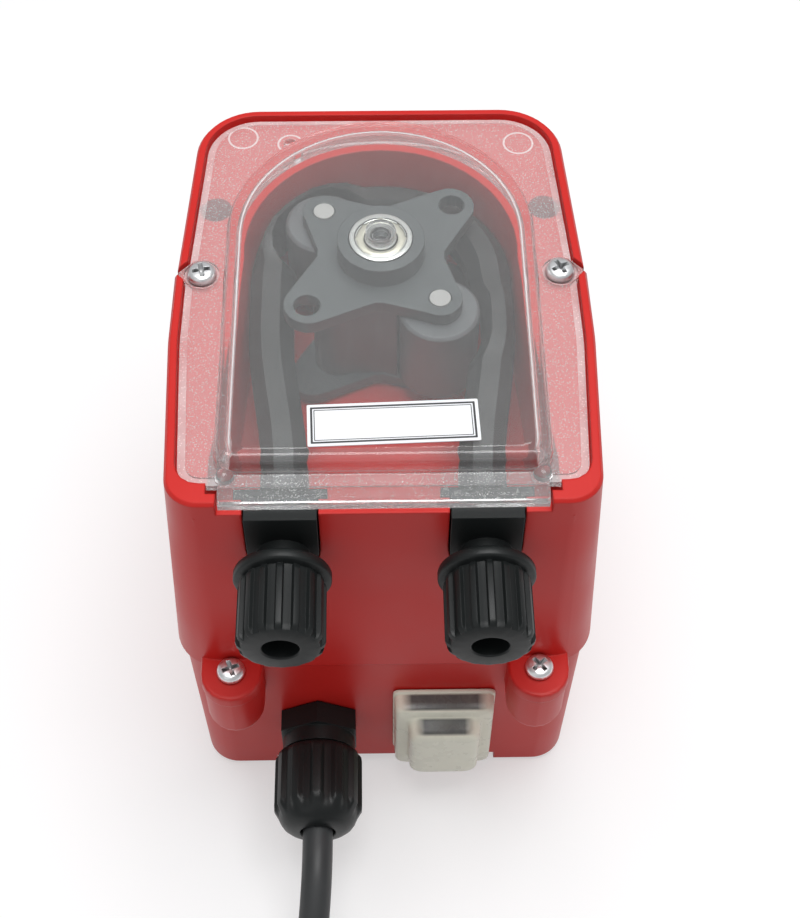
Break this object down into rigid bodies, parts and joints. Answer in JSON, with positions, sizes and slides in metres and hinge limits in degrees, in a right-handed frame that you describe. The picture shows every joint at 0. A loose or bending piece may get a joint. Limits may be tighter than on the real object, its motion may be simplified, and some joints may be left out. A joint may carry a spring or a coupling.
{
  "type": "peristaltic dosing pump",
  "caption": "Wall-mounted peristaltic dosing pump: two-part housing, clear domed cover, roller rotor squeezing a tube, hose connectors, geared motor, booted rocker switch and glanded mains cable",
  "frame": {"origin": "centre of the flat back face of the rear housing, which rests on the table and is carried to a wall bracket in use", "axes": "+Z out of the clear front cover, +X to the right of somebody who looks at the cover, +Y to the pump's top as it hangs on a wall"},
  "size_m": [0.1014, 0.2965, 0.1173],
  "materials": {
    "red_plastic": "semi-gloss moulded plastic",
    "clear_plastic": "clear moulded plastic",
    "black_plastic": "moulded",
    "grey_plastic": "moulded",
    "roller_plastic": "turned",
    "zinc_steel": "zinc plated",
    "bearing_steel": "ground",
    "pin_steel": "ground",
    "tube_rubber": "extruded",
    "seal_rubber": "moulded",
    "label_film": "plain film",
    "boot_silicone": "translucent silicone",
    "cable_sheath": "extruded",
    "core_brown": "extruded",
    "core_blue": "extruded",
    "core_green": "extruded",
    "gear_plastic": "moulded",
    "bronze": "sintered",
    "terminal_plastic": "moulded",
    "tie_fabric": "hook and loop band"
  },
  "bodies": {
    "housing": {"front_housing": "red_plastic", "rear_housing": "red_plastic", "cover": "clear_plastic", "label": "label_film", "cover_screw_left": "zinc_steel", "cover_screw_right": "zinc_steel", "housing_screw_upper_left": "zinc_steel", "housing_screw_upper_right": "zinc_steel", "housing_screw_lower_left": "zinc_steel", "housing_screw_lower_right": "zinc_steel", "bearing_inner_ring": "bearing_steel", "pump_tube": "tube_rubber", "connector_left": "black_plastic", "connector_right": "black_plastic", "idler_pin": "pin_steel", "motor_case": "zinc_steel", "gearbox_case": "black_plastic", "gearbox_lid": "black_plastic", "gearbox_screw_left": "zinc_steel", "gearbox_screw_right": "zinc_steel", "shaft_bush": "bronze", "switch_body": "black_plastic", "switch_boot": "boot_silicone", "terminal_block": "terminal_plastic", "gland_body": "black_plastic", "gland_lock_nut": "black_plastic", "gland_seal": "seal_rubber", "power_cable": "cable_sheath", "power_cable_coil": "cable_sheath", "power_cable_tail": "cable_sheath", "cable_tie": "tie_fabric", "core_brown": "core_brown", "core_blue": "core_blue", "core_green": "core_green"},
    "rotor": {"rotor_frame": "grey_plastic", "roller_pin_1": "pin_steel", "roller_pin_2": "pin_steel", "bearing_outer_ring": "bearing_steel", "bearing_shield": "bearing_steel", "output_shaft": "pin_steel", "output_gear": "gear_plastic"},
    "first_roller": {"roller_1": "roller_plastic"},
    "second_roller": {"roller_2": "roller_plastic"},
    "ball_cage": {"bearing_ball_cage": "bearing_steel"},
    "idler": {"idler_gear": "gear_plastic"},
    "motor_spindle": {"motor_rotor": "zinc_steel"},
    "rocker": {"switch_rocker": "black_plastic"},
    "left_ferrule": {"clamping_ferrule_left": "seal_rubber"},
    "left_nut": {"compression_nut_left": "black_plastic"},
    "right_ferrule": {"clamping_ferrule_right": "seal_rubber"},
    "right_nut": {"compression_nut_right": "black_plastic"},
    "dome_nut": {"gland_dome_nut": "black_plastic"}
  },
  "joints": [
    {"name": "rotor_spin", "type": "hinge", "parent": "housing", "child": "rotor", "pos_m": [0, 0.013, 0.0975], "axis": [0, 0, 1], "continuous": true, "deforming": ["pump_tube"]},
    {"name": "roller_1_spin", "type": "hinge", "parent": "rotor", "child": "first_roller", "pos_m": [-0.01192, 0.02513, 0.0945], "axis": [0, 0, 1], "continuous": true},
    {"name": "roller_2_spin", "type": "hinge", "parent": "rotor", "child": "second_roller", "pos_m": [0.01192, 0.00088, 0.0945], "axis": [0, 0, 1], "continuous": true},
    {"name": "bearing_cage_spin", "type": "hinge", "parent": "housing", "child": "ball_cage", "pos_m": [0, 0.013, 0.1105], "axis": [0, 0, 1], "continuous": true},
    {"name": "idler_spin", "type": "hinge", "parent": "housing", "child": "idler", "pos_m": [0.009, -0.00486, 0.068], "axis": [0, 0, 1], "continuous": true},
    {"name": "motor_spin", "type": "hinge", "parent": "housing", "child": "motor_spindle", "pos_m": [-0.006, -0.01652, 0.06], "axis": [0, 0, 1], "continuous": true},
    {"name": "rocker_tilt", "type": "hinge", "parent": "housing", "child": "rocker", "pos_m": [0.013, -0.0524, 0.02455], "axis": [1, 0, 0], "range_deg": [-18, 0]},
    {"name": "left_ferrule_slide", "type": "slide", "parent": "housing", "child": "left_ferrule", "axis": [0, -1, 0], "range_m": [0, 0.003]},
    {"name": "left_nut_turn", "type": "hinge", "parent": "left_ferrule", "child": "left_nut", "pos_m": [-0.0192, -0.06, 0.0975], "axis": [0, -1, 0], "continuous": true},
    {"name": "right_ferrule_slide", "type": "slide", "parent": "housing", "child": "right_ferrule", "axis": [0, -1, 0], "range_m": [0, 0.003]},
    {"name": "right_nut_turn", "type": "hinge", "parent": "right_ferrule", "child": "right_nut", "pos_m": [0.0192, -0.06, 0.0975], "axis": [0, -1, 0], "continuous": true},
    {"name": "dome_nut_turn", "type": "hinge", "parent": "housing", "child": "dome_nut", "pos_m": [-0.01505, -0.07, 0.0243], "axis": [0, -1, 0], "range_deg": [-20, 20]}
  ],
  "couplings": [
    {"joint": "roller_1_spin", "follows": "rotor_spin", "ratio": -3.048},
    {"joint": "roller_2_spin", "follows": "rotor_spin", "ratio": -3.048},
    {"joint": "bearing_cage_spin", "follows": "rotor_spin", "ratio": 0.621},
    {"joint": "idler_spin", "follows": "rotor_spin", "ratio": -3},
    {"joint": "motor_spin", "follows": "rotor_spin", "ratio": 11.25},
    {"joint": "left_nut_turn", "follows": "left_ferrule_slide", "rad_per_m": 4188.8},
    {"joint": "right_nut_turn", "follows": "right_ferrule_slide", "rad_per_m": 4188.8}
  ]
}
